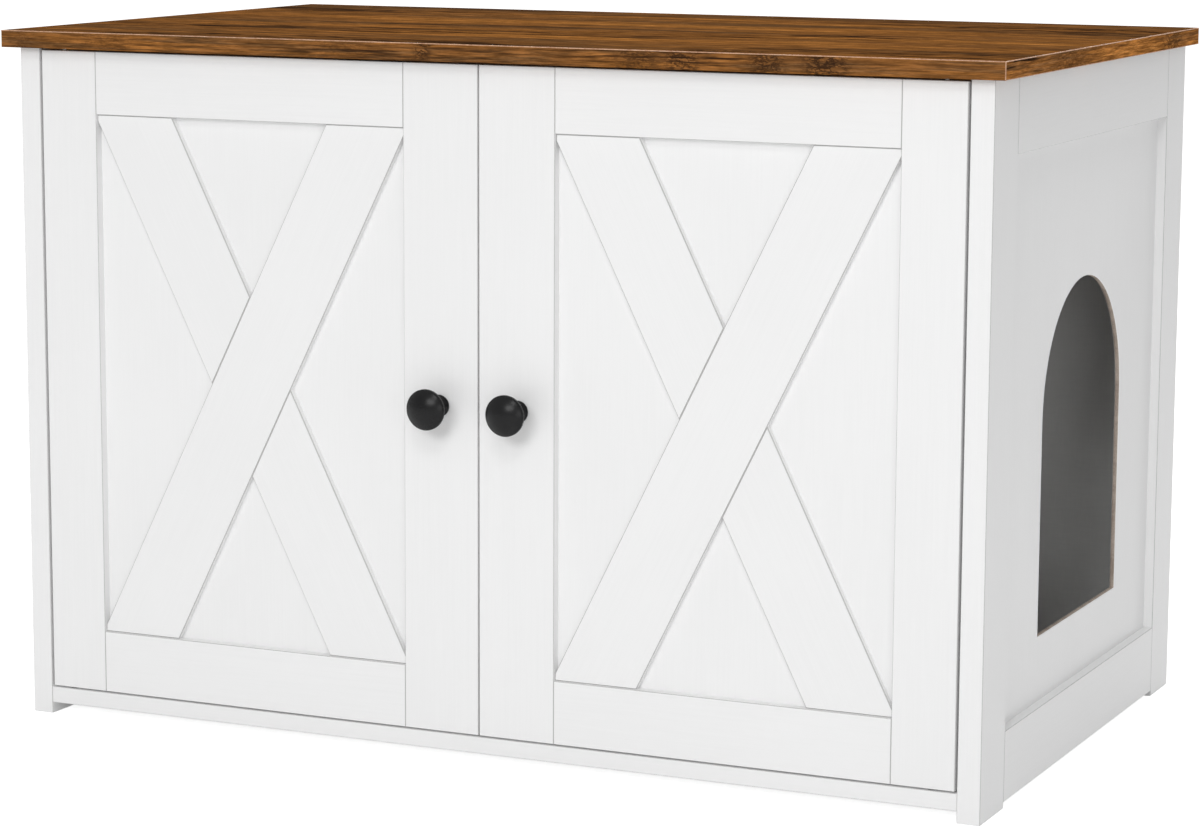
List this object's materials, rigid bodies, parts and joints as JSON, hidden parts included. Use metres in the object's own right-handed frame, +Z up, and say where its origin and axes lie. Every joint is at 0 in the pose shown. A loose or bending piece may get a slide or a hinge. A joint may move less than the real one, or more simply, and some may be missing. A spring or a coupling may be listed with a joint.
{
  "type": "cat litter box cabinet",
  "caption": "Low white cabinet that hides a cat litter box, with two barn-door-braced doors, black knobs, a wood-print top and an arched cat entrance in its right side.",
  "frame": {"origin": "on the floor, under the middle of the whole cabinet's box, knobs and top overhang included", "axes": "+X to the right seen from the front, +Y from the doors to the back, +Z up"},
  "size_m": [0.924, 0.58, 0.615],
  "materials": {
    "white_lacquer": "satin white lacquer over fibreboard",
    "white_hardboard": "white faced hardboard",
    "rustic_wood_print": "brown rustic wood-print laminate with a pale arris",
    "black_enamel": "satin black",
    "zinc_steel": "zinc plated",
    "cast_zinc": "die-cast, bare",
    "bright_steel": "bright",
    "beech_dowel": "bare",
    "grey_nylon": "grey, matte",
    "moulded_plastic": "white moulded",
    "ferrite": "dark sintered magnet"
  },
  "bodies": {
    "carcass": {"top_board": "rustic_wood_print", "bottom_board": "white_lacquer", "back_panel": "white_hardboard", "left_front_post": "white_lacquer", "left_rear_post": "white_lacquer", "left_side_top_rail": "white_lacquer", "left_side_bottom_rail": "white_lacquer", "left_side_panel": "white_lacquer", "right_front_post": "white_lacquer", "right_rear_post": "white_lacquer", "right_side_top_rail": "white_lacquer", "right_side_bottom_rail": "white_lacquer", "right_side_panel": "white_lacquer", "cam_bolts": "zinc_steel", "cam_locks": "cast_zinc", "carcass_dowels": "beech_dowel", "lower_pivot_bushes": "grey_nylon", "upper_pivot_bushes": "grey_nylon", "catch_housings": "moulded_plastic", "catch_magnets": "ferrite", "catch_pole_plates": "bright_steel", "catch_screws": "zinc_steel"},
    "left_door": {"left_door_outer_stile": "white_lacquer", "left_door_meeting_stile": "white_lacquer", "left_door_top_rail": "white_lacquer", "left_door_bottom_rail": "white_lacquer", "left_door_panel": "white_lacquer", "left_door_long_brace": "white_lacquer", "left_door_lower_brace": "white_lacquer", "left_door_upper_brace": "white_lacquer", "left_door_knob": "black_enamel", "left_door_knob_screw": "zinc_steel", "left_door_strike_plate": "bright_steel", "left_door_strike_screw": "zinc_steel", "left_door_lower_pivot_pin": "bright_steel", "left_door_upper_pivot_pin": "bright_steel"},
    "right_door": {"right_door_outer_stile": "white_lacquer", "right_door_meeting_stile": "white_lacquer", "right_door_top_rail": "white_lacquer", "right_door_bottom_rail": "white_lacquer", "right_door_panel": "white_lacquer", "right_door_long_brace": "white_lacquer", "right_door_lower_brace": "white_lacquer", "right_door_upper_brace": "white_lacquer", "right_door_knob": "black_enamel", "right_door_knob_screw": "zinc_steel", "right_door_strike_plate": "bright_steel", "right_door_strike_screw": "zinc_steel", "right_door_lower_pivot_pin": "bright_steel", "right_door_upper_pivot_pin": "bright_steel"}
  },
  "joints": [
    {"name": "left_door_hinge", "type": "hinge", "parent": "carcass", "child": "left_door", "pos_m": [-0.408, -0.25, 0.312], "axis": [0, 0, -1], "range_deg": [0, 130]},
    {"name": "right_door_hinge", "type": "hinge", "parent": "carcass", "child": "right_door", "pos_m": [0.408, -0.25, 0.312], "axis": [0, 0, 1], "range_deg": [0, 130]}
  ]
}
